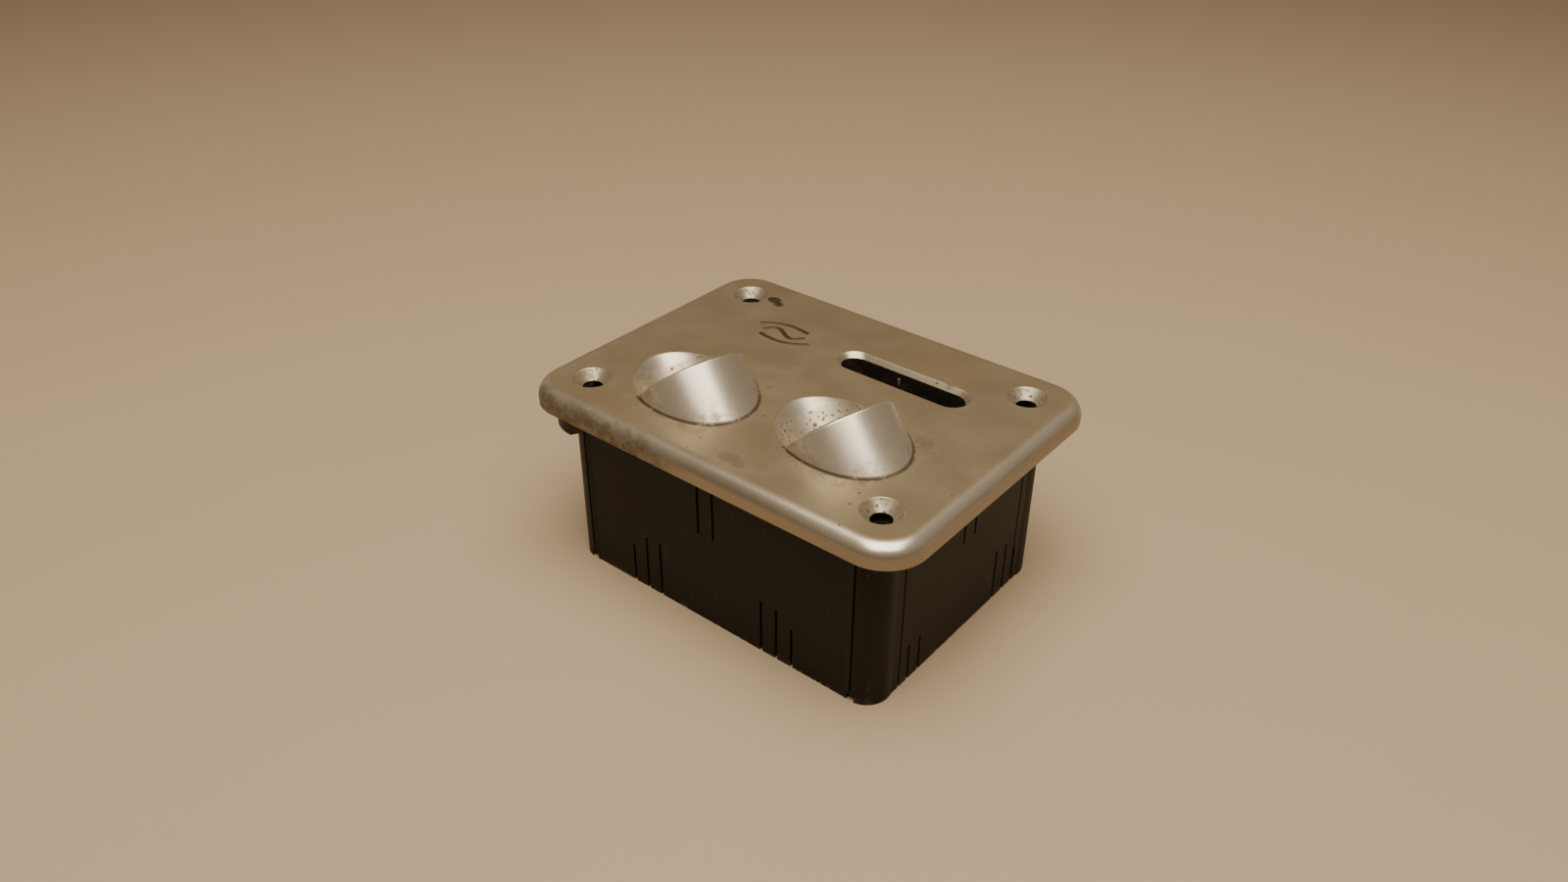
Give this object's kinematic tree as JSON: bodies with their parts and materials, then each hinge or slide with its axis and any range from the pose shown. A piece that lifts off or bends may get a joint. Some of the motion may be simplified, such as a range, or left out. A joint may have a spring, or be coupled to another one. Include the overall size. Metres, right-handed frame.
{
  "type": "generator inlet box",
  "caption": "Flush die-cast face plate with hooded 45 degree inlet ports and a round-ended slot over a slotted black plastic back box",
  "frame": {"origin": "middle of the back box's base, which is the middle of the whole object's footprint", "axes": "+Z out of the face plate, +X along the plate's long side, away from the port mouths, -Y the long side nearer the ports"},
  "size_m": [0.1162, 0.0882, 0.065],
  "materials": {
    "die_cast": "satin silver paint on a die casting, worn and dusty",
    "box_plastic": "matte moulded black plastic",
    "carrier_plastic": "matte moulded black plastic",
    "gasket_rubber": "matte",
    "seal_rubber": "matte",
    "insert_plastic": "moulded thermoset",
    "ring_plastic": "moulded nylon",
    "pin_brass": "turned",
    "tab_brass": "stamped",
    "screw_steel": "zinc plated",
    "lever_copper": "drawn copper-coloured wire",
    "block_plastic": "moulded",
    "switch_plastic": "moulded phenolic",
    "plunger_plastic": "moulded",
    "wire_brown": "wire insulation",
    "wire_blue": "wire insulation",
    "wire_green": "wire insulation",
    "wire_grey": "wire insulation"
  },
  "bodies": {
    "box": {"cable_grommet": "gasket_rubber", "carrier_screw_1": "screw_steel", "carrier_screw_2": "screw_steel", "carrier_screw_3": "screw_steel", "carrier_screw_4": "screw_steel", "closed_tab": "tab_brass", "common_tab": "tab_brass", "device_carrier": "carrier_plastic", "earth_pin_1": "pin_brass", "earth_pin_2": "pin_brass", "face_plate": "die_cast", "inlet_insert_1": "insert_plastic", "inlet_insert_2": "insert_plastic", "inlet_seal_1": "seal_rubber", "inlet_seal_2": "seal_rubber", "lever_pin": "screw_steel", "line_pin_1": "pin_brass", "line_pin_2": "pin_brass", "neutral_pin_1": "pin_brass", "neutral_pin_2": "pin_brass", "open_tab": "tab_brass", "pin_screw_1a": "screw_steel", "pin_screw_1b": "screw_steel", "pin_screw_1c": "screw_steel", "pin_screw_2a": "screw_steel", "pin_screw_2b": "screw_steel", "pin_screw_2c": "screw_steel", "plate_gasket": "gasket_rubber", "port_wire_1a": "wire_brown", "port_wire_1b": "wire_blue", "port_wire_1c": "wire_green", "port_wire_2a": "wire_brown", "port_wire_2b": "wire_blue", "port_wire_2c": "wire_green", "retaining_ring_1": "ring_plastic", "retaining_ring_2": "ring_plastic", "switch_base": "switch_plastic", "switch_cover": "switch_plastic", "switch_screw_1": "screw_steel", "switch_screw_2": "screw_steel", "switch_wire_1": "wire_grey", "switch_wire_2": "wire_grey", "terminal_block": "block_plastic", "terminal_clamp_1": "tab_brass", "terminal_clamp_2": "tab_brass", "terminal_clamp_3": "tab_brass", "terminal_clamp_4": "tab_brass", "terminal_clamp_5": "tab_brass", "terminal_screw_1": "screw_steel", "terminal_screw_2": "screw_steel", "terminal_screw_3": "screw_steel", "terminal_screw_4": "screw_steel", "terminal_screw_5": "screw_steel", "wall_box": "box_plastic"},
    "lever": {"wire_lever": "lever_copper"},
    "plunger": {"switch_plunger": "plunger_plastic"},
    "blade": {"contact_blade": "lever_copper"}
  },
  "joints": [
    {"name": "lever_turn", "type": "hinge", "parent": "box", "child": "lever", "pos_m": [0.005, 0.0189, 0.0407], "axis": [0, 1, 0], "range_deg": [0, 10], "stiffness_Nm_per_rad": 0.002, "springref_deg": -5.73},
    {"name": "plunger_slide", "type": "slide", "parent": "box", "child": "plunger", "axis": [0, 0, -1], "range_m": [0, 0.0008]},
    {"name": "blade_turn", "type": "hinge", "parent": "box", "child": "blade", "pos_m": [0.005, 0.0189, 0.0363], "axis": [0, 1, 0], "range_deg": [0, 10.2]}
  ],
  "couplings": [
    {"joint": "plunger_slide", "follows": "lever_turn", "m_per_rad": 0.0045},
    {"joint": "blade_turn", "follows": "lever_turn", "ratio": 1}
  ]
}
